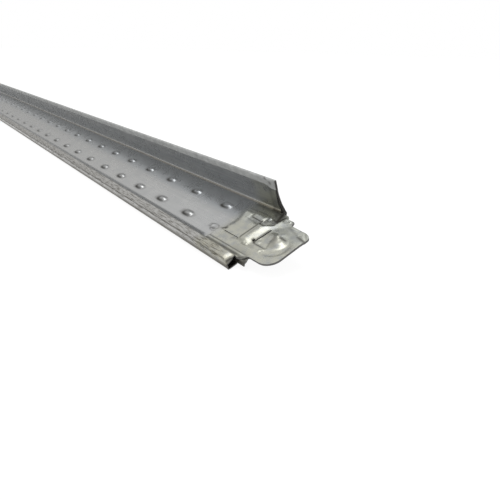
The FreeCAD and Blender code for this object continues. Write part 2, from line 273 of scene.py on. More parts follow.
# A material with the tee's millimetres and its roll marks
def newMaterial(name, fineness, cloud):
    material = bpy.data.materials.new(name)
    material.use_nodes = True
    tree = material.node_tree
    place = teePlace(tree)
    marks = useGroup(tree, rollMarks, place, {"Fineness": fineness, "Cloud": cloud})
    return material, tree, tree.nodes["Principled BSDF"], place, marks


# Zinc: colours, shares and where they start. Places over the height are given as minus the height, and
# those along the tee as past the bulb's end.
steelLook = {
    "bright": (0.455, 0.457, 0.452),
    "dull": (0.385, 0.392, 0.395),
    "streakRange": (0.35, 0.68),
    "cloudRange": (0.3, 0.7),
    "cloudShare": 0.6,
    # painted shade: darker, bluer zinc on the web beside the flange, standing in for its reflection of the
    # flange
    "blue": (0.395, 0.411, 0.424),      # band of the web beside the flange
    "blueEnds": (-12.2, -9.6),
    # painted light: the wings get a lighter zinc than the web of the same strip
    "flange": (0.52, 0.525, 0.525),
    "flangeStart": (-1.7, -1.2),
    # painted shade: a darker, warmer band in the root bend, which dims its highlight
    "rootShade": (0.32, 0.308, 0.283),
    "rootEnds": ((-0.70, -0.80), (-1.6, -1.35)),
    "bulb": (0.415, 0.412, 0.40),
    "bulbStart": (-23.6, -24.6),
    # painted contact shade with some dirt on the bulb's lower edge, where it lies on the floor
    "lowerEdge": (1.2, -0.5),           # across the bulb, down to the floor
    # painted shade: a dark band on the neck between web and bulb, fading out towards the ends
    "neckShade": (0.20, 0.206, 0.21),
    "neckEnds": ((-22.15, -22.6), (-24.0, -23.4)),
    "neckStop": (-19.5, -16.6),
    "neckShare": 0.6,
    "warm": (1.0, 0.985, 0.86),         # tint of the handled ends
    "warmStart": (-19.0, -14.0),
    "patch": (0.28, 0.293, 0.305),      # grey-blue patches on the handled ends
    "patchRange": (0.46, 0.66),
    "patchShare": 0.6,
    "wipedStart": (-5.0, -2.5),         # bulb's end, with less dirt and a little rougher
    "wipedDirt": 0.15,
    "wipedRough": 0.03,
    # colour of the dirt, and of the painted contact shade on the bulb's lower edge
    "dirt": (0.10, 0.091, 0.074),
    "bulbDirt": 0.85,
    "edgeShadeAndDirt": 0.85,
    "specks": 0.4,
    # dark lines of the per-point shade and grime: mostly painted shade in slits, gaps and hollows, some grime
    "crease": (0.035, 0.032, 0.027),
    "roughness": (0.22, 0.36),
    "dirtRough": 0.25,
    "creaseRough": 0.3,
}


def makeSteel():
    look = steelLook
    material, tree, shader, place, marks = newMaterial("galvanised_strip", 2.4, 0.16)
    dirt = useGroup(tree, handlingDirt, place)
    apart = addNode(tree, "ShaderNodeSeparateXYZ")
    tree.links.new(place, apart.inputs["Vector"])
    height = apart.outputs["Y"]
    fromMiddle = doMath(tree, "ABSOLUTE", apart.outputs["X"], 0.0)
    pastEnd = doMath(tree, "SUBTRACT", fromMiddle, lay["half"])
    onBulb = mapRange(tree, height, *look["bulbStart"])
    handled = mapRange(tree, pastEnd, *look["warmStart"])

    # zinc with its bands from flange to bulb: lighter on the wings as painted light, and painted shade beside
    # the flange, in the root bend and on the neck
    streakMix = mapRange(tree, marks["Streaks"], *look["streakRange"])
    base = mixColour(tree, streakMix, look["bright"], look["dull"])
    cloudMix = mapRange(tree, marks["Mottle"], *look["cloudRange"], 0.0, look["cloudShare"])
    base = mixColour(tree, cloudMix, base, look["dull"])
    base = mixColour(tree, mapRange(tree, height, *look["blueEnds"]), base, look["blue"])
    flangeBase = mixColour(tree, streakMix, look["flange"], look["blue"])
    base = mixColour(tree, mapRange(tree, height, *look["flangeStart"]), base, flangeBase)
    base = mixColour(tree, bandShare(tree, height, look["rootEnds"]), base, look["rootShade"])
    base = mixColour(tree, onBulb, base, look["bulb"])
    onNeck = bandShare(tree, height, look["neckEnds"])
    onNeck = times(tree, onNeck, mapRange(tree, pastEnd, *look["neckStop"], look["neckShare"], 0.0))
    base = mixColour(tree, onNeck, base, look["neckShade"])

    # handled ends, then dirt, painted contact shade on the bulb's lower edge, and dark creases of painted
    # shade and grime
    base = mixColour(tree, handled, base, look["warm"], "MULTIPLY")
    blots = noiseAt(tree, place, 0.42, 4, 0.6)
    patches = mapRange(tree, blots, *look["patchRange"], 0.0, look["patchShare"])
    base = mixColour(tree, times(tree, patches, handled), base, look["patch"])
    wiped = mapRange(tree, pastEnd, *look["wipedStart"], 1.0, look["wipedDirt"])
    bulbSmears = times(tree, times(tree, dirt["Smears"], onBulb), wiped)
    bulbDirt = times(tree, bulbSmears, look["bulbDirt"])
    specks = times(tree, dirt["Specks"], look["specks"])
    # painted contact shade with some dirt along the bulb's lower edge, where it lies on the floor
    lowerEdge = mapRange(tree, apart.outputs["Z"], *look["lowerEdge"])
    edgeShadeAndDirt = times(tree, times(tree, lowerEdge, onBulb), look["edgeShadeAndDirt"])
    dirtAndShade = doMath(tree, "MAXIMUM", doMath(tree, "MAXIMUM", bulbDirt, specks), edgeShadeAndDirt)
    base = mixColour(tree, dirtAndShade, base, look["dirt"])
    # painted shade and grime along creases, slits and the stitches' feet, carried on the mesh
    shadeAndGrime = addNode(tree, "ShaderNodeAttribute", attribute_name="shadeAndGrime").outputs["Fac"]
    base = mixColour(tree, shadeAndGrime, base, look["crease"])
    tree.links.new(base, shader.inputs["Base Color"])

    rough = mapRange(tree, marks["Mottle"], *look["cloudRange"], *look["roughness"])
    rough = doMath(tree, "ADD", rough, times(tree, dirtAndShade, look["dirtRough"]))
    rough = doMath(tree, "ADD", rough, times(tree, shadeAndGrime, look["creaseRough"]))
    wipedRough = mapRange(tree, pastEnd, *look["wipedStart"], 0.0, look["wipedRough"])
    rough = doMath(tree, "ADD", rough, times(tree, wipedRough, onBulb))
    tree.links.new(rough, shader.inputs["Roughness"])
    shader.inputs["Metallic"].default_value = 1.0
    addBump(tree, shader, marks["Streaks"], 0.10, 0.00004)
    return material


edgeLook = {"dark": (0.07, 0.068, 0.065), "light": (0.20, 0.195, 0.19), "roughness": 0.5}


# Sheared edges: bare steel, darker than the zinc and darkened further as painted shade, with the streaks of
# the cut
def makeCutEdge():
    material, tree, shader, place, marks = newMaterial("cut_edge", 5.0, 0.8)
    base = mixColour(tree, marks["Mottle"], edgeLook["dark"], edgeLook["light"])
    tree.links.new(base, shader.inputs["Base Color"])
    shader.inputs["Metallic"].default_value = 0.8
    shader.inputs["Roughness"].default_value = edgeLook["roughness"]
    addBump(tree, shader, marks["Streaks"], 0.2, 0.00005)
    return material


paintLook = {
    "paint": (0.50, 0.51, 0.50),
    "worn": (0.37, 0.38, 0.375),
    "wornRange": (0.35, 0.7),
    "dirt": (0.25, 0.24, 0.22),
    "smears": 0.25,
    "specks": 0.5,
    "streakRange": (0.3, 0.7),
    "roughness": (0.42, 0.6),
}


def makePaint():
    look = paintLook
    material, tree, shader, place, marks = newMaterial("painted_cap", 1.2, 0.35)
    dirt = useGroup(tree, handlingDirt, place)
    cloud = mapRange(tree, marks["Mottle"], *look["wornRange"])
    base = mixColour(tree, cloud, look["paint"], look["worn"])
    smears = times(tree, dirt["Smears"], look["smears"])
    specks = times(tree, dirt["Specks"], look["specks"])
    base = mixColour(tree, doMath(tree, "MAXIMUM", smears, specks), base, look["dirt"])
    shadeAndGrime = addNode(tree, "ShaderNodeAttribute", attribute_name="shadeAndGrime").outputs["Fac"]
    base = mixColour(tree, shadeAndGrime, base, steelLook["crease"])
    tree.links.new(base, shader.inputs["Base Color"])
    rough = mapRange(tree, marks["Streaks"], *look["streakRange"], *look["roughness"])
    tree.links.new(rough, shader.inputs["Roughness"])
    addBump(tree, shader, noiseAt(tree, place, 4.0, 2), 0.12, 0.00005)
    return material


backLook = {"coatAndShade": (0.045, 0.043, 0.040), "worn": (0.075, 0.070, 0.062), "roughness": 0.7}


# The cap's inside: a thin dark coat, worn in clouds, made near black as painted shade in the gap where the
# wings stop short of the cap's ends
def makeBackCoatAndShade():
    material, tree, shader, place, marks = newMaterial("back_coat_and_shade", 2.0, 0.5)
    base = mixColour(tree, marks["Mottle"], backLook["coatAndShade"], backLook["worn"])
    tree.links.new(base, shader.inputs["Base Color"])
    shader.inputs["Roughness"].default_value = backLook["roughness"]
    return material


steel = makeSteel()
cutEdge = makeCutEdge()
paint = makePaint()
backCoatAndShade = makeBackCoatAndShade()
print("materials made")

# Folded strip

strip = {
    "gauge": 0.35,
    "wingTip": 11.55,
    "wingLevel": 0.65,
    "rootRadius": 0.8,
    "bulbHalf": 2.0,
    "bulbTop": 28.0,
    "bulbCorner": 0.7,
    "sideStart": 24.85,
    "sideMiddle": 26.0,
    "topMiddle": 0.65,
    "middleNeck": (3.1, 55.0),      # radius and turn of the bend from web to bulb
    "endNeck": (0.5, 80.0),
    "endZone": (-19.5, -16.6),      # where the middle's section changes into the end's
    "layerGap": 0.01,
}

tab = {
    "reach": 12.7,
    "root": 4.1,
    "faceEdge": 4.85,
    "bulbEdge": 21.85,
    "largeCorner": 4.6,
    "smallCorner": 2.3,
    "earHeight": 3.1,
    "earStart": 0.8,
    "earEnd": 3.4,
    "wingRoot": -1.0,
    "rootEnd": 1.45,
}

# Ends of the rows beyond the tab, towards the bulb: heights, and how far past the bulb's end the first and
# the second of the columns lie that can be a row's last
lugLayer = {
    "first": ((21.85, 24.5), (0.8, 0.35)),
    "second": ((21.85, 22.9, 23.55, 24.0, 24.3), (3.5, 3.98, 4.27, 4.0, 3.7)),
}
shoulderLayer = {
    "first": ((21.85, 24.15), (0.8, -1.5)),
    "second": ((21.85, 22.5, 23.4, 24.15), (3.6, 3.2, 2.7, 0.35)),
}

# Flange's end: (across, past the bulb's end), the wings a little behind the cap
flangeEnd = {
    "across": (0.0, 1.4, 3.1, 4.9, 6.7, 9.4, 12.0),
    "past": (-3.4, -4.1, -4.85, -5.1, -5.3, -4.95, -4.75),
    "wingBehind": (1.7, 1.6, 1.3, 0.9, 0.6, 0.35, 0.3),
}

webRowsEnd = np.array([
    1.45, 2.05, 2.6, 3.1, 3.4, 3.75, 4.15, 4.5, 4.85, 5.1, 5.4, 5.7, 6.1, 6.6, 7.1, 7.45, 7.8, 8.2, 8.6,
    9.0, 9.4, 9.9, 10.3, 10.7, 11.1, 11.5, 11.9, 12.4, 12.9, 13.4, 13.9, 14.4, 14.9, 15.4, 15.9, 16.4,
    16.8, 17.25, 17.7, 17.82, 18.2, 18.6, 19.0, 19.4, 19.9, 20.5, 21.1, 21.5, 21.72, 21.85, 22.05, 22.3,
    22.55, 22.8, 23.1, 23.55])
stitchRows = np.array([-1.6, -1.35, -1.1, -0.85, -0.55, 0.0, 0.55, 0.85, 1.1, 1.35, 1.6])

stitch = {
    "pitch": 20.0,
    "first": 26.25,         # face row, back from the bulb's end; the bulb row is half a pitch further
    "faceRow": 8.2,
    "bulbRow": 18.8,
    "length": 6.1,
    "width": 3.0,
    "rise": 0.9,
    "flat": 0.5,            # share of the oval that is level on top
    "power": 2.7,           # of the oval: 2 for an ellipse, more for a blunter end
    # painted shade on the left feet of the ovals, with a fainter ring all round
    "shadeAndSoil": 1.0,
    "shadeWay": (-0.65, 0.75),   # towards the side of the oval that it lies on
    "shadePower": 1.5,
    "shadeCore": 0.1,
    "shadeAt": (0.75, 0.38),     # middle and width of the shaded rim, 1 on the foot
    "ring": 0.4,            # fainter painted shade all round the foot
    "ringAt": (1.05, 0.14),
    "farShade": 0.4,         # share of the painted shade that the far stitches have
    "shadeFade": (-120.0, 160.0),
    "climb": 0.5,           # share of the rise by which the right end is higher than the middle
    "nearSteps": (-3.15, -2.65, -2.05, -1.25, -0.35, 0.55, 1.25, 1.8, 2.3, 2.75, 3.2),
    "farSteps": (-3.15, -1.9, -0.45, 1.15, 2.25, 3.15),
    "nearFrom": 100.0,
}

stitchCount = int((2 * lay["half"] - 2 * stitch["first"] - stitch["pitch"] / 2) // stitch["pitch"]) + 1
faceRowAt = lay["half"] - stitch["first"] - stitch["pitch"] * np.arange(stitchCount)
bulbRowAt = faceRowAt - stitch["pitch"] / 2
wingRows = 6
neckRows = 4
rootBend = np.radians([18, 36, 54, 72])


# The strip's section as rows of (height, across) with the normal of its seen side: wing straight,
# root arc, web straight, neck arc, corner arc, bulb side straight, corner arc, bulb top straight
def stripSection(webRows, neck):
    radius = neck[0]
    turn = math.radians(neck[1])
    corner = strip["bulbCorner"]
    gauge = strip["gauge"]
    wing = np.linspace(strip["wingTip"], gauge + strip["rootRadius"], wingRows)
    rise = np.linspace(0, 1, neckRows + 1)[1:] * turn
    fall = np.linspace(1, 0, 4) * turn
    over = np.radians([30, 60, 90])
    level = np.full(wingRows, strip["wingLevel"])
    slopeLength = (strip["bulbHalf"] - gauge - (radius + corner) * (1 - math.cos(turn))) / math.sin(turn)
    neckStart = strip["sideStart"] - (radius + corner) * math.sin(turn) - slopeLength * math.cos(turn)
    rootCentre = strip["wingLevel"] + strip["rootRadius"]
    web = webRows + (webRows - webRows[0]) / (webRows[-1] - webRows[0]) * (neckStart - webRows[-1])
    topAt = strip["bulbTop"]
    half = strip["bulbHalf"]
    height = np.concatenate([
        level, rootCentre - strip["rootRadius"] * np.cos(rootBend), web,
        neckStart + radius * np.sin(rise), strip["sideStart"] - corner * np.sin(fall),
        [strip["sideMiddle"], topAt - corner], topAt - corner + corner * np.sin(over), [topAt, topAt]])
    across = np.concatenate([
        wing, gauge + strip["rootRadius"] * (1 - np.sin(rootBend)), np.full(len(web), gauge),
        gauge + radius * (1 - np.cos(rise)), half - corner * (1 - np.cos(fall)),
        [half, half], half - corner + corner * np.cos(over), [strip["topMiddle"], 0]])
    normalHeight = np.concatenate([
        np.ones(wingRows), np.cos(rootBend), np.zeros(len(web)), -np.sin(rise), -np.sin(fall),
        [0, 0], np.sin(over), [1, 1]])
    normalAcross = np.concatenate([
        np.zeros(wingRows), np.sin(rootBend), np.ones(len(web)), np.cos(rise), np.cos(fall),
        [1, 1], np.cos(over), [0, 0]])
    return np.stack([height, across, normalHeight, normalAcross])


# Two sections mixed by a share for every column
def mixSections(first, second, share):
    return [(1 - share) * one[:, None] + share * two[:, None] for one, two in zip(first, second)]


# Columns: close at the stitches near the camera and where the ends are stamped. From the still one on they
# are stretched, and a row's last one is the first, second or third.
endColumn = {"still": -9.0, "first": 0.8, "second": 3.6, "third": 12.6}
endSteps = np.concatenate([
    np.linspace(-24.0, -21.2, 3), np.linspace(-20.9, -14.2, 22), np.linspace(-13.7, -7.1, 15),
    [-6.6, -6.48, -6.2, -5.9], np.linspace(-5.55, -1.15, 15), [-0.8, -0.5, -0.2, 0.3, 0.8],
    np.linspace(1.3, 3.6, 6), np.linspace(3.9, 6.3, 9), np.linspace(6.65, 8.75, 7),
    np.linspace(9.15, 12.6, 10)])
stitchCentres = np.concatenate([faceRowAt, bulbRowAt])
isNear = stitchCentres > stitch["nearFrom"]
nearSteps = (stitchCentres[isNear][:, None] + np.array(stitch["nearSteps"])).ravel()
farSteps = (stitchCentres[~isNear][:, None] + np.array(stitch["farSteps"])).ravel()
gapSteps = stitchCentres[isNear] - stitch["pitch"] / 4
plainSteps = np.linspace(farSteps.min() - 3, -lay["half"] + 25.5, 4)    # beyond the last far stitch
leastStep = 0.1
nominal = np.concatenate([
    nearSteps, farSteps, gapSteps, plainSteps, lay["half"] + endSteps, -lay["half"] - endSteps])
nominal = np.unique(np.round(nominal, 4))
nominal = nominal[np.concatenate([[True], np.diff(nominal) > leastStep])]

middleRows = np.concatenate([
    np.linspace(1.45, 6.0, 10), stitch["faceRow"] + stitchRows, np.linspace(10.4, 16.7, 16),
    stitch["bulbRow"] + stitchRows, np.linspace(20.75, 21.6, 8)])
sectionMiddle = stripSection(middleRows, strip["middleNeck"])
sectionEnd = stripSection(webRowsEnd, strip["endNeck"])
rowCount = sectionEnd.shape[1]
webFirst = wingRows + len(rootBend)
webLast = webFirst + len(webRowsEnd)

# Stamped forms of one end: places past the bulb's end, heights and rises, with the slopes at their ends
stamp = {
    # edge: the rib's outline on the face side; start: where it begins to fall, beside the slot and beside
    # the face; stop: where it is down, over the height
    "rib": {
        "edge": ((-6.9, -4.3, -1.1, 0.4, 1.2), (9.4, 9.6, 7.3, 2.9, 0.0)),
        "edgeSoft": 0.25,
        "start": (-4.1, -0.7),
        "besideFace": (9.4, 5.4),
        "stop": ((5.4, 7.4, 9.1, 9.6), (4.5, 1.0, 0.1, -0.9)),
        "end": (16.9, 19.4),
        "endSoft": 0.8,
        "endSides": (-1.5, 0.7),
        "faceShare": 0.6,
        "facePower": 1.6,
        "rise": 0.62,
        "curl": ((4.6, 6.0, 7.0, 8.0, 9.2), (0.33, 0.19, 0.09, 0.03, 0.0)),     # tab's edge beside the face
        "curlStart": (-2.2, -0.6),
        "curlStop": (4.5, 9.0),
        "lift": ((3.4, 5.6, 6.6, 9.3), (0.0, 0.1, 0.11, 0.0)),      # of the sheet left of that edge
        "liftEnd": -4.6,
        "liftSlope": 2.0,
    },
    # the window's curved left edge, its rise and how much of that it loses to the right, over the height
    "window": {
        "right": -6.6,
        "left": -14.0,
        "low": 7.3,
        "lowSoft": 0.4,
        "high": 17.7,
        "edge": ((5.0, 8.0, 10.0, 12.5, 15.5, 17.7), (-15.7, -15.2, -14.1, -13.6, -14.1, -14.1)),
        "slope": 2.3,
        "rise": ((4.4, 5.0, 5.4, 7.6, 11.0, 17.7), (0.0, 0.72, 0.88, 0.72, 0.46, 0.2)),
        "fall": ((6.2, 7.4, 9.2, 10.5), (0.7, 0.85, 0.75, 0.35)),
        "faceSide": (-6.5, -5.8),
        "besideLance": (-12.7, -11.9),      # left of the lance the crest lies lower by the next number
        "lower": 1.5,
        "lowerStop": (9.0, 12.0),
        "slit": 0.12,
    },
    "lance": {
        "left": -11.5, "right": -6.9, "endSlopes": (0.3, 0.8),
        "low": 5.9, "high": 7.9, "sideSlopes": (0.3, 0.3), "rise": 0.12,
    },
    "bead": {
        "start": -16.9, "end": -0.6, "endSlopes": (0.3, 3.2),
        "height": 22.55, "sides": (0.2, 0.77), "rise": 0.25,
    },
    "detent": {"peak": (6.8, 11.9), "middle": (6.4, 12.9), "half": (3.3, 3.25), "flat": 0.2, "rise": 0.68},
    "crest": {
        "start": 0.2, "top": 4.3, "end": 6.9, "power": 1.4,
        "cut": 10.1, "foot": (10.7, 13.0), "rise": 0.72,
    },
    "dish": {"middle": (6.5, 14.0), "radius": 4.8, "soft": 0.5, "start": (2.5, 7.5), "depth": 0.15},
    # the tongue's right edge leans by slant from the height leanFrom on
    "tongue": {
        "left": -0.2, "right": 2.4, "slant": 0.41, "leanFrom": 10.0, "endSlopes": (0.1, 0.5),
        "low": 10.8, "high": 16.4, "sideSlopes": (1.5, 0.25), "sink": 0.1,
    },
    # ovals: middle and half sizes; rim, and the dark rim of painted shade and soil: middle and width of a
    # bell over the oval, 1 on its rim
    "clinch": {
        "ovals": ((-19.5, 18.3, 1.8, 1.1), (-18.9, 19.5, 1.3, 0.6)),
        "rim": (0.8, 0.3), "rise": 0.13, "shadeAndSoilRim": (1.1, 0.2), "shadeAndSoil": 0.6,
    },
    "corner": {"fold": ((9.2, 4.6), (12.8, 10.4)), "foldLength": 6.83, "power": 1.5, "drop": 0.12},
    "dent": {"start": (9.6, 7.1), "end": (12.4, 7.9), "half": 0.8, "depth": 0.2},
    # slantAt: middle and width of the bell along the tee inside which the columns lean with the slot
    "slot": {
        "left": -0.8, "right": -0.2, "low": 9.4, "high": 16.4, "heel": (-1.6, 15.35),
        "slant": 0.057, "middle": 12.9, "slantSoft": 0.4, "slantAt": (-0.5, 1.2),
    },
    "crimp": {
        "from": -2.3, "length": 2.65, "bend": 0.72, "bendPower": 2, "heights": (22.9, 24.4),
        "lip": 1.05, "lipPower": 9, "lipHeights": (24.6, 26.9),
    },
    "from": -24.0,
    "faceFade": (1.6, 2.6),         # heights over which all pressing fades towards the face and the bulb
    "bulbFade": (23.0, 23.8),
}

# Small burrs: place, radius and rise
burrFlat = 0.1
burrs = (
    ((-5.0, 5.5), 0.75, 0.35), ((4.1, 18.2), 0.55, 0.19), ((4.8, 17.3), 0.5, 0.12),
    ((-3.5, 18.4), 0.6, 0.16), ((-2.1, 18.5), 0.6, 0.14), ((-15.4, 17.3), 0.7, 0.2), ((2.5, 3.7), 0.7, 0.22),
    ((0.6, 15.6), 0.8, 0.3), ((4.5, 10.9), 1.2, 0.2),
)

# Dark lines along creases, cut lines, slits and hollows, mostly painted shade with some grime: both ends,
# half width and strength
creases = (
    # window and lance
    ((-6.05, 17.4), (-6.05, 9.6), 0.3, 0.85),
    ((-6.4, 9.6), (-6.7, 7.3), 0.22, 0.7),
    ((-4.95, 15.3), (-4.95, 11.3), 0.2, 0.3),
    ((-15.9, 17.2), (-14.7, 16.5), 0.45, 0.95),
    ((-15.3, 15.9), (-14.7, 17.1), 0.35, 0.8),
    ((-17.2, 17.5), (-15.9, 17.2), 0.3, 0.5),
    ((-9.0, 18.9), (-7.7, 18.4), 0.4, 0.35),
    ((-11.2, 8.15), (-7.1, 8.15), 0.34, 0.95),
    ((-14.2, 18.0), (-7.4, 18.0), 0.2, 0.5),
    ((-11.7, 5.9), (-11.7, 8.0), 0.25, 0.55),
    ((-7.7, 6.5), (-6.5, 6.6), 0.55, 0.4),
    ((-13.3, 9.45), (-8.7, 9.45), 0.22, 0.35),
    ((-16.2, 4.75), (-6.2, 4.75), 0.35, 0.55),
    # tongue, slot and rib
    ((-0.3, 16.75), (4.8, 16.95), 0.26, 0.75),
    ((-1.7, 15.7), (-0.5, 16.4), 0.55, 0.97),
    ((-0.85, 9.8), (-1.2, 15.5), 0.32, 0.55),
    ((-3.6, 18.9), (-1.4, 19.1), 0.28, 0.5),
    ((-1.2, 18.2), (0.8, 18.4), 0.7, 0.25),
    # bead, notch and lug
    ((-17.0, 21.85), (2.4, 21.9), 0.25, 0.5),
    ((-17.2, 23.4), (-0.6, 23.35), 0.4, 0.9),
    ((-17.3, 20.6), (-16.9, 22.6), 0.22, 0.35),
    ((-5.0, 24.2), (-1.0, 24.45), 0.25, 0.5),
    ((-4.0, 21.2), (2.5, 21.6), 1.3, 0.25),
    ((2.9, 22.2), (3.5, 22.9), 0.45, 0.7),
    ((0.6, 24.0), (2.9, 24.4), 0.7, 0.7),
    ((1.1, 23.75), (1.35, 24.5), 0.6, 0.98),
    ((2.2, 23.0), (3.9, 23.5), 0.7, 0.75),
    # tab
    ((5.9, 10.95), (7.5, 10.9), 0.55, 0.8),
    ((3.4, 12.2), (5.0, 16.2), 0.4, 0.3),
    ((4.6, 11.9), (5.9, 14.8), 0.9, 0.2),
    ((9.4, 7.4), (11.0, 7.9), 0.65, 0.7),
    ((10.5, 7.6), (12.7, 8.0), 0.45, 0.8),
    ((4.4, 4.85), (10.6, 4.9), 0.3, 0.5),
    ((8.7, 6.9), (9.6, 6.6), 0.3, 0.4),
    ((10.4, 5.0), (12.6, 7.2), 0.3, 0.5),
    ((4.0, 5.7), (9.0, 7.2), 0.5, 0.5),
    ((5.5, 5.9), (11.0, 8.0), 1.4, 0.25),
    ((2.9, 3.0), (3.7, 4.4), 0.35, 0.7),
    ((11.6, 11.2), (11.5, 14.5), 0.7, 0.1),
    # wedge beside the root, painted shade where the web reflects the flange's end
    ((-7.2, 1.12), (-3.8, 1.2), 0.25, 0.85),
    ((-16.0, 1.9), (-5.0, 2.1), 0.7, 0.5),
    ((-8.5, 1.4), (-2.5, 2.3), 0.8, 0.8),
    ((-3.4, 1.6), (-2.1, 5.2), 1.1, 0.97),
    ((-5.4, 2.9), (-2.8, 4.8), 0.7, 0.65),
    ((-3.9, 5.4), (-2.2, 5.7), 0.5, 0.9),
    ((-3.4, 6.4), (-1.9, 6.3), 0.6, 0.45),
    ((-1.0, 2.5), (-1.9, 5.8), 0.6, 0.97),
)


# How far a tapered cone reaches: 1 at its peak, 0 on the ellipse round its foot and outside it.
# The ray from the peak through the point meets the ellipse at s times the point's distance.
def coneShare(u, v, shape):
    middle, half, peak = shape["middle"], shape["half"], shape["peak"]
    pu = (peak[0] - middle[0]) / half[0]
    pv = (peak[1] - middle[1]) / half[1]
    du = (u - peak[0]) / half[0]
    dv = (v - peak[1]) / half[1]
    a = du * du + dv * dv + tiny
    b = pu * du + pv * dv
    c = pu * pu + pv * pv - 1
    s = (-b + np.sqrt(b * b - a * c)) / a
    return np.clip(1 - 1 / s, 0, 1)


# A plateau along the tee up to its right edge, times one over the height
def plate(past, height, shape, right):
    lengthways = plateau(past, shape["left"], right, *shape["endSlopes"])
    return lengthways * plateau(height, shape["low"], shape["high"], *shape["sideSlopes"])


# Distance from the middle of each clinch oval, 1 on its rim
def clinchPlaces(past, height):
    return [np.hypot((past - u) / halfU, (height - v) / halfV)
            for u, v, halfU, halfV in stamp["clinch"]["ovals"]]


# The rib stands up along the window's sheared side and falls to the slot by bumpShare, or to the tab beside
# the face by a power of what is left. The tab's edge there curls up, and the sheet left of it lifts a little.
def ribRelief(past, height):
    rib = stamp["rib"]
    window = stamp["window"]
    low = window["high"] + window["slit"]
    right = window["right"] + window["slit"]
    outside = ease(height, low, low + rib["endSoft"])
    slopes = ease(past, right + rib["endSides"][0], right + rib["endSides"][1])
    stands = (1 - outside) * (past > right - slack) + outside * slopes
    beside = ease(height, *rib["besideFace"])
    start = (1 - beside) * rib["start"][0] + beside * rib["start"][1]
    stop = np.interp(height, *rib["stop"])
    q = (past - start) / (stop - start)
    toFace = rib["faceShare"] * (1 - np.clip(q, 0, 1)) ** rib["facePower"]
    falls = (1 - beside) * bumpShare(q, 0) + beside * toFace
    inEdge = ease(height - np.interp(past, *rib["edge"]), -rib["edgeSoft"], rib["edgeSoft"])
    reach = inEdge * (1 - ease(height, *rib["end"]))
    curl = np.interp(height, *rib["curl"]) * ease(past, *rib["curlStart"])
    curl = curl * (1 - ease(past, *rib["curlStop"]))
    lift = np.interp(height, *rib["lift"]) * plateau(past, right, rib["liftEnd"], slack, rib["liftSlope"])
    return (rib["rise"] * stands * falls + curl) * reach + lift


# The window slopes up from a curved left edge and ends in two sheared sides, or in a slope above them
def windowRelief(past, height):
    window = stamp["window"]
    leftEdge = np.interp(height, *window["edge"])
    inside = bumpShare((leftEdge - past) / window["slope"], 0)
    above = ease(height, window["low"], window["low"] - window["lowSoft"])
    sheared = past < window["right"] + slack
    ends = (1 - above) * sheared + above * (1 - ease(past, *window["faceSide"]))
    inward = wayShare(past, leftEdge, window["right"])
    lower = window["lower"] * (1 - ease(past, *window["besideLance"]))
    lower = lower * (1 - ease(height, *window["lowerStop"]))
    level = np.interp(height - lower, *window["rise"]) * (1 - np.interp(height, *window["fall"]) * inward)
    return level * inside * ends * (height < window["high"] + slack)


# The detent: an eased cone, and a crest that climbs by a power to its top and is cut off towards the face,
# in a shallow round dish
def detentRelief(past, height):
    detent = stamp["detent"]
    cone = ease(coneShare(past, height, detent), 0, 1 - detent["flat"])
    crest = stamp["crest"]
    climbs = wayShare(past, crest["start"], crest["top"]) ** crest["power"]
    climbs = climbs * (1 - ease(past, crest["top"], crest["end"]))
    climbs = climbs * (height > crest["cut"]) * (1 - ease(height, *crest["foot"]))
    dish = stamp["dish"]
    away = np.hypot(past - dish["middle"][0], height - dish["middle"][1]) - dish["radius"]
    hollow = (1 - ease(away, -dish["soft"], dish["soft"])) * ease(past, *dish["start"])
    return detent["rise"] * cone + crest["rise"] * climbs - dish["depth"] * hollow


# Stamped relief of one end over (past the bulb's end, height): the higher of rib and window, and then
# plateaus, rims, bumps and hollows added up
def endRelief(past, height):
    relief = np.maximum(ribRelief(past, height), windowRelief(past, height))
    lance = stamp["lance"]
    relief = relief + lance["rise"] * plate(past, height, lance, lance["right"])
    bead = stamp["bead"]
    ridge = plateau(past, bead["start"], bead["end"], *bead["endSlopes"])
    ridge = ridge * (1 - ease(np.abs(height - bead["height"]), *bead["sides"]))
    relief = relief + bead["rise"] * ridge
    tongue = stamp["tongue"]
    rightEdge = tongue["right"] + tongue["slant"] * (height - tongue["leanFrom"])
    sunk = plate(past, height, tongue, rightEdge)
    relief = relief - tongue["sink"] * sunk + detentRelief(past, height)
    for q in clinchPlaces(past, height):
        relief = relief + stamp["clinch"]["rise"] * bell(q, *stamp["clinch"]["rim"])
    dent = stamp["dent"]
    fromDent = runDistance(past, height, dent["start"], dent["end"])
    relief = relief - dent["depth"] * bumpShare(fromDent / dent["half"], 0)
    for spot, radius, rise in burrs:
        away = np.hypot(past - spot[0], height - spot[1])
        relief = relief + rise * bumpShare(away / radius, burrFlat)
    corner = stamp["corner"]
    start, end = corner["fold"]
    outside = (past - start[0]) * (end[1] - start[1]) - (height - start[1]) * (end[0] - start[0])
    outside = np.clip(outside / corner["foldLength"], 0, None)
    return relief - corner["drop"] * outside ** corner["power"]


# How dark each crease's painted shade and grime is at a point, the clinch rims included: its strength times a
# bell of its half width
def endShadeAndGrime(past, height):
    shadeAndGrime = np.zeros_like(past)
    for q in clinchPlaces(past, height):
        shadeAndGrime = np.maximum(shadeAndGrime, stamp["clinch"]["shadeAndSoil"] * bell(q, *stamp["clinch"]["shadeAndSoilRim"]))
    for start, end, half, strength in creases:
        shadeAndGrime = np.maximum(shadeAndGrime, strength * bell(runDistance(past, height, start, end), 0, half))
    return shadeAndGrime


# Place in the nearest stitch of a row, in half lengths and half widths from its middle
def stitchPlace(along, height, centres, row):
    nearest = centres[0] - stitch["pitch"] * np.clip(
        np.round((centres[0] - along) / stitch["pitch"]), 0, stitchCount - 1)
    return (along - nearest) / (stitch["length"] / 2), (height - row) / (stitch["width"] / 2)


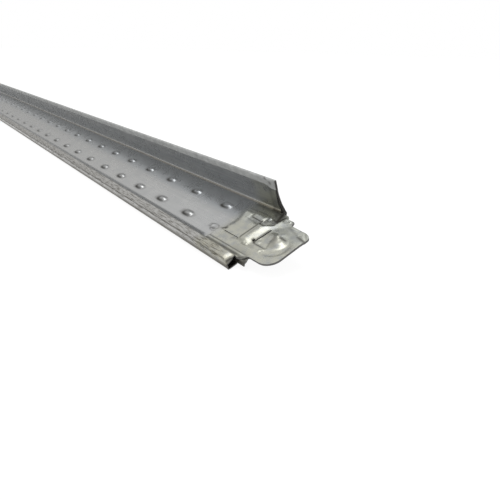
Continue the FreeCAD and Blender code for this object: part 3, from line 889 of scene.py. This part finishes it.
# Both rows of blunt ovals: rise times bumpShare, times a climb from their left ends to their right ones.
# Painted shade lies on their left feet, with a fainter ring all round, and there is less of it on the far
# ones.
def stitchForms(along, height):
    relief = np.zeros_like(along)
    shadeAndSoil = np.zeros_like(along)
    power = stitch["power"]
    for centres, row in ((faceRowAt, stitch["faceRow"]), (bulbRowAt, stitch["bulbRow"])):
        u, w = stitchPlace(along, height, centres, row)
        q = (np.abs(u) ** power + np.abs(w) ** power) ** (1 / power)
        climb = 1 - stitch["climb"] + stitch["climb"] * np.clip(u, -1, 1)
        relief = relief + stitch["rise"] * climb * bumpShare(q, stitch["flat"])
        leftward = (stitch["shadeWay"][0] * u + stitch["shadeWay"][1] * w) / np.maximum(q, stitch["shadeCore"])
        leftward = np.clip(0.5 + 0.5 * leftward, 0, 1) ** stitch["shadePower"]
        shadeAndSoil = shadeAndSoil + stitch["shadeAndSoil"] * leftward * bell(q, *stitch["shadeAt"])
        shadeAndSoil = np.maximum(shadeAndSoil, stitch["ring"] * bell(q, *stitch["ringAt"]))
    shadeAndSoil = shadeAndSoil * (stitch["farShade"] + (1 - stitch["farShade"]) * ease(along, *stitch["shadeFade"]))
    return relief, shadeAndSoil


# Where each row ends, at the three columns that can be its last. Later columns are dropped, so they only
# have to lie further out.
def rowEnds(withLug):
    height = sectionEnd[0]
    across = sectionEnd[1]
    rows = np.arange(rowCount)
    wingPast = np.array(flangeEnd["past"]) - np.array(flangeEnd["wingBehind"])
    wing = np.interp(across, flangeEnd["across"], wingPast)
    onSlope = np.interp(height, [tab["rootEnd"], tab["earHeight"]], [tab["wingRoot"], tab["earStart"]])
    first = np.where(rows < webFirst, wing, onSlope)
    ear = np.interp(height, [tab["earHeight"], tab["faceEdge"]], [tab["earEnd"], tab["root"]])
    second = np.where(height < tab["earHeight"] - slack, first + 2, ear)
    beyond = height > tab["bulbEdge"] + slack
    ends = lugLayer if withLug else shoulderLayer
    first = np.where(beyond, np.interp(height, *ends["first"]), first)
    second = np.where(beyond, np.interp(height, *ends["second"]), second)
    small = np.clip(tab["faceEdge"] + tab["smallCorner"] - height, 0, tab["smallCorner"])
    large = np.clip(height - tab["bulbEdge"] + tab["largeCorner"], 0, tab["largeCorner"])
    third = tab["reach"] - tab["smallCorner"] + np.sqrt(tab["smallCorner"] ** 2 - small ** 2)
    third = third - tab["largeCorner"] + np.sqrt(tab["largeCorner"] ** 2 - large ** 2)
    inTab = (height > tab["faceEdge"] - slack) & (height < tab["bulbEdge"] + slack)
    third = np.where(inTab, third, second + 1)
    return first[:, None], second[:, None], third[:, None]


# Nominal columns past the bulb's end stretched so that each row's last one falls on its own end
def endColumns(past, withLug):
    first, second, third = rowEnds(withLug)
    still = endColumn["still"]
    place = np.minimum(past, still) + wayShare(past, still, endColumn["first"]) * (first - still)
    place = place + wayShare(past, endColumn["first"], endColumn["second"]) * (second - first)
    return place + wayShare(past, endColumn["second"], endColumn["third"]) * (third - second)


# Cells whose middles lie inside a rectangle: ends along the tee and ends over the height
def cellsInside(cellPast, cellHeight, pasts, heights):
    inPast = (cellPast > pasts[0]) & (cellPast < pasts[1])
    inHeight = (cellHeight > heights[0]) & (cellHeight < heights[1])
    return inPast[None, :] & inHeight[:, None]


# One layer of the strip, from the wing's tip to the middle of the bulb's top: side 1 in front, -1 behind
def stripLayer(name, side):
    past = np.abs(nominal)[None, :] - lay["half"]
    toEnd = ease(past, *strip["endZone"])
    height, across, normalHeight, normalAcross = mixSections(sectionMiddle, sectionEnd, toEnd)
    length = np.hypot(normalHeight, normalAcross)
    normalHeight = normalHeight / length
    normalAcross = normalAcross / length
    withLug = (nominal > 0) != (side > 0)
    place = np.where(withLug[None, :], endColumns(past, True), endColumns(past, False))
    slot = stamp["slot"]
    leans = plateau(height, slot["low"], slot["high"], slot["slantSoft"], slot["slantSoft"])
    leans = leans * bell(past, *slot["slantAt"])
    place = place - slot["slant"] * (height - slot["middle"]) * leans
    along = np.sign(nominal)[None, :] * (lay["half"] + place)

    # the shear has crimped the bulb onto the wall with the lug: by a power of the way to the end for the bend
    # and a high one for the lip, times a point's share of the bulb's width from that wall
    innerHeight = height - strip["gauge"] * normalHeight
    innerAcross = np.maximum(across - strip["gauge"] * normalAcross, strip["layerGap"])
    crimp = stamp["crimp"]
    toLug = np.where(withLug[None, :], -1.0, 1.0)
    t = wayShare(place, crimp["from"], crimp["from"] + crimp["length"])
    lip = crimp["lip"] * ease(height, *crimp["lipHeights"]) * t ** crimp["lipPower"]
    inwards = (crimp["bend"] * t ** crimp["bendPower"] + lip) * ease(height, *crimp["heights"])
    inwards = inwards * toLug * (toLug * across + strip["bulbHalf"]) / (2 * strip["bulbHalf"])
    across = across - inwards
    innerAcross = innerAcross - inwards
    innerAcross[-1] = across[-1]

    atEnd = past > stamp["from"]
    bumps, shadeAndSoil = stitchForms(along, height)
    press = np.sign(nominal)[None, :] * endRelief(place, height) * atEnd + bumps
    press = press * ease(height, *stamp["faceFade"]) * (1 - ease(height, *stamp["bulbFade"]))
    # painted shade and grime: the stitches' feet and the end's creases
    shadeAndGrime = np.maximum(shadeAndSoil, endShadeAndGrime(place, height) * atEnd)
    outer = toWorld(along, height, side * across + press)
    inner = toWorld(along, innerHeight, side * innerAcross + press)

    # kept cells: up to each row's last column, without the slot and, in the layer without the lug, without
    # the window's slits and the slot's heel
    cellHeight = (sectionEnd[0][:-1] + sectionEnd[0][1:]) / 2
    cellPast = (past[0][:-1] + past[0][1:]) / 2
    lastPlain = np.where(cellHeight < tab["earHeight"], endColumn["first"], endColumn["second"])
    inTab = (cellHeight > tab["faceEdge"]) & (cellHeight < tab["bulbEdge"])
    lastPlain = np.where(inTab, endColumn["third"], lastPlain)
    lastPlain[:webFirst] = endColumn["first"]
    lastLug = lastPlain.copy()
    lastLug[webLast + neckRows:] = endColumn["first"]
    lugCell = (withLug[:-1] & withLug[1:])[None, :]
    last = np.where(lugCell, lastLug[:, None], lastPlain[:, None])
    window = stamp["window"]
    right = window["right"] + window["slit"]
    low = window["high"] + window["slit"]
    inSlot = cellsInside(cellPast, cellHeight, (slot["left"], slot["right"]), (slot["low"], slot["high"]))
    heelStart, heelLow = slot["heel"]
    slits = cellsInside(cellPast, cellHeight, (heelStart, slot["right"]), (heelLow, slot["high"]))
    slits = slits | cellsInside(cellPast, cellHeight, (window["right"], right), (window["low"], low))
    slits = slits | cellsInside(cellPast, cellHeight, (window["left"], right), (window["high"], low))
    kept = (cellPast[None, :] < last) & ~inSlot & ~(slits & ~lugCell)
    return sheetMesh(name, outer, inner, kept, side > 0, [steel, cutEdge, steel], shadeAndGrime)


for name, side in (("strip_front", 1), ("strip_rear", -1)):
    layer = stripLayer(name, side)
    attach(layer, "root")
    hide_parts("tee_body")

# Painted face cap

cap = {
    "gauge": 0.3,
    "half": 12.0,
    "radius": 0.42,
    "lipLevel": 0.95,
    "hem": 2.35,
    "hemExtra": 0.95,           # hem is wider where the shear has flattened it
    "hemZone": (-10.8, -6.4),
    "waves": ((0.04, 0.11, 0.0), (0.03, 0.37, 1.3)),    # of the hem's width: share, turn a millimetre, start
    "still": -9.0,              # from here to the nominal end the columns are stretched to the flange's end
    "nominalEnd": -4.5,
    "hemSide": 0.5,             # higher than this is the hem's side
    "crease": ((-9.8, 11.9), (-7.0, 10.5)),
    "creaseHalf": 0.3,
    "creaseSoil": 0.7,
}


# Half the cap's section from the hem's free edge round the fold to the middle of the face:
# straight hem, two arcs with a short straight between them, straight face
def capSection(hemWidth):
    radius = cap["radius"]
    arc = np.radians([0, 22.5, 45, 67.5, 90])
    face = np.linspace(cap["half"] - radius, 0, 14)[1:]
    lip = cap["half"] - hemWidth + (hemWidth - radius) * np.array([0, 0.33, 0.67])
    inwards = cap["half"] - radius
    height = np.concatenate([
        np.full(3, cap["lipLevel"]), cap["lipLevel"] - radius + radius * np.cos(arc),
        radius - radius * np.sin(arc), np.zeros(len(face))])
    across = np.concatenate([lip, inwards + radius * np.sin(arc), inwards + radius * np.cos(arc), face])
    normalHeight = np.concatenate([np.ones(3), np.cos(arc), -np.sin(arc), -np.ones(len(face))])
    normalAcross = np.concatenate([np.zeros(3), np.sin(arc), np.cos(arc), np.zeros(len(face))])
    return np.stack([height, across, normalHeight, normalAcross])


# The whole cap: the half section and its mirror, carried along the tee with a slightly uneven hem
def faceCap():
    coarse = np.linspace(-24, -11.5, 8)
    fine = np.linspace(-10.8, cap["nominalEnd"], 18)
    ends = lay["half"] + np.concatenate([coarse, fine])
    middle = np.linspace(-lay["half"] + 30, lay["half"] - 30, 109)
    nominalCap = np.unique(np.concatenate([-ends, middle, ends]))
    past = np.abs(nominalCap)[None, :] - lay["half"]
    narrow = capSection(cap["hem"])
    wide = capSection(cap["hem"] + cap["hemExtra"])
    wave = sum(share * np.sin(nominalCap * turn + start) for share, turn, start in cap["waves"])
    toWide = ease(past, *cap["hemZone"]) + wave[None, :]
    half = mixSections(narrow, wide, toWide)
    height, across, normalHeight, normalAcross = [
        np.concatenate([rows, way * rows[-2::-1]]) for rows, way in zip(half, (1, -1, 1, -1))]
    end = np.interp(np.abs(across), flangeEnd["across"], flangeEnd["past"])
    still = cap["still"]
    place = np.minimum(past, still) + wayShare(past, still, cap["nominalEnd"]) * (end - still)
    along = np.sign(nominalCap)[None, :] * (lay["half"] + place)
    outer = toWorld(along, height, across)
    inner = toWorld(along, height - cap["gauge"] * normalHeight, across - cap["gauge"] * normalAcross)
    kept = np.ones((outer.shape[0] - 1, outer.shape[1] - 1), dtype=bool)
    crease = bell(runDistance(place, np.abs(across), *cap["crease"]), 0, cap["creaseHalf"])
    shadeAndGrime = cap["creaseSoil"] * crease * (height >= cap["hemSide"])
    return sheetMesh("face_cap_folded", outer, inner, kept, True, [paint, cutEdge, backCoatAndShade], shadeAndGrime)


folded = faceCap()
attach(folded, "root")
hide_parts("face_cap")
print("cap folded")

# Studio

studio = {
    "floorHalf": 6.0,
    "floorGrey": (0.9, 0.9, 0.9, 1),
    "floorGlow": 1.12,
    "glowShare": 0.8,
    "lampPlace": (0.1, 0.0, 1.0),
    "lampSize": (0.8, 0.4),
    "lampPower": 2.6,
    "worldLight": 0.70,
}

# Cards that only reflections show: two on the camera's left, which the flange, the hem and every side
# turned to the left look at, two beyond the far end, and a dark one behind the camera, which only steep
# sides of the near end look at. Each has its two ends on the floor, its height, its greys at the floor and
# at the fade's height, and that height.
cards = {
    "left_card": ((-0.6, -0.42), (0.32, -0.42), 0.8, (0.8, 0.5), 0.18),
    "left_far_card": ((-1.3, -0.42), (-0.6, -0.42), 0.8, (0.66, 0.4), 0.18),
    "far_left_card": ((-1.38, -0.42), (-1.38, -0.14), 0.5, (0.32, 0.36), 0.5),
    "far_card": ((-1.4, -0.42), (-1.4, 1.2), 1.0, (0.42, 1.0), 1.0),
    "near_card": ((1.3, -0.6), (1.3, 1.6), 0.9, (0.05, 0.25), 0.9),
}


# White to the camera and in reflections, plain light to everything else
def whiteShare(tree):
    path = addNode(tree, "ShaderNodeLightPath")
    seen = doMath(tree, "MAXIMUM", path.outputs["Is Camera Ray"], path.outputs["Is Glossy Ray"])
    return doMath(tree, "MAXIMUM", seen, path.outputs["Is Transmission Ray"])


# A material with an output and nothing to feed it yet
def addEmptyMaterial(mesh, name):
    material = bpy.data.materials.new(name)
    material.use_nodes = True
    mesh.materials.append(material)
    tree = material.node_tree
    tree.nodes.remove(tree.nodes["Principled BSDF"])
    return tree


def makeFloor():
    reach = studio["floorHalf"]
    mesh = bpy.data.meshes.new("floor")
    mesh.from_pydata([(-reach, -reach, 0), (reach, -reach, 0), (reach, reach, 0), (-reach, reach, 0)], [],
                     [(0, 1, 2, 3)])
    floor = addObject("floor", mesh)
    tree = addEmptyMaterial(mesh, "white_floor")
    matt = addNode(tree, "ShaderNodeBsdfDiffuse", {"Color": studio["floorGrey"]})
    glow = addNode(tree, "ShaderNodeEmission", {"Strength": studio["floorGlow"], "Color": (1, 1, 1, 1)})
    mix = addNode(tree, "ShaderNodeMixShader")
    tree.links.new(times(tree, whiteShare(tree), studio["glowShare"]), mix.inputs[0])
    tree.links.new(matt.outputs[0], mix.inputs[1])
    tree.links.new(glow.outputs[0], mix.inputs[2])
    tree.links.new(mix.outputs[0], tree.nodes["Material Output"].inputs["Surface"])


def makeWorld():
    world = bpy.data.worlds.new("studio")
    world.use_nodes = True
    bpy.context.scene.world = world
    tree = world.node_tree
    back = tree.nodes["Background"]
    back.inputs["Color"].default_value = (1, 1, 1, 1)
    level = mapRange(tree, whiteShare(tree), 0, 1, studio["worldLight"], 1.0)
    tree.links.new(level, back.inputs["Strength"])


def makeLamp():
    data = bpy.data.lights.new("overhead", "AREA")
    data.shape = "RECTANGLE"
    data.size = studio["lampSize"][0]
    data.size_y = studio["lampSize"][1]
    data.energy = studio["lampPower"]
    lamp = addObject("overhead", data)
    lamp.location = studio["lampPlace"]


# A standing card, graded from the floor up to the fade's height
def makeCard(name, start, end, height, greys, fade):
    mesh = bpy.data.meshes.new(name)
    mesh.from_pydata([(*start, 0), (*end, 0), (*end, height), (*start, height)], [], [(0, 1, 2, 3)])
    card = addObject(name, mesh)
    card.visible_camera = False
    card.visible_diffuse = False
    card.visible_shadow = False
    tree = addEmptyMaterial(mesh, name)
    spot = addNode(tree, "ShaderNodeTexCoord")
    apart = addNode(tree, "ShaderNodeSeparateXYZ")
    tree.links.new(spot.outputs["Object"], apart.inputs["Vector"])
    glow = addNode(tree, "ShaderNodeEmission", {"Color": (1, 0.99, 0.97, 1)})
    tree.links.new(mapRange(tree, apart.outputs["Z"], 0.0, fade, *greys), glow.inputs["Strength"])
    tree.links.new(glow.outputs[0], tree.nodes["Material Output"].inputs["Surface"])


# The camera stands off the near end, looking back along the tee
shot = {
    "place": (0.39395338, -0.08030768, 0.05905670),
    "right": (0.60588518, 0.79523600, 0.02242416),
    "up": (-0.34138457, 0.23443225, 0.91021871),
    "back": (0.71858174, -0.55914329, 0.41352032),
    "lens": 31.874,
    "sensor": 36,
    "clip": (0.01, 50),
}


def makeCamera():
    data = bpy.data.cameras.new("shot")
    data.sensor_width = shot["sensor"]
    data.lens = shot["lens"]
    data.clip_start, data.clip_end = shot["clip"]
    camera = addObject("shot", data)
    columns = np.eye(4)
    columns[:3, 0] = shot["right"]
    columns[:3, 1] = shot["up"]
    columns[:3, 2] = shot["back"]
    columns[:3, 3] = shot["place"]
    camera.matrix_world = Matrix(columns.tolist())
    bpy.context.scene.camera = camera


makeFloor()
makeWorld()
makeLamp()
for name, card in cards.items():
    makeCard(name, *card)
makeCamera()
bpy.context.scene.view_settings.view_transform = "Standard"
print("studio set")
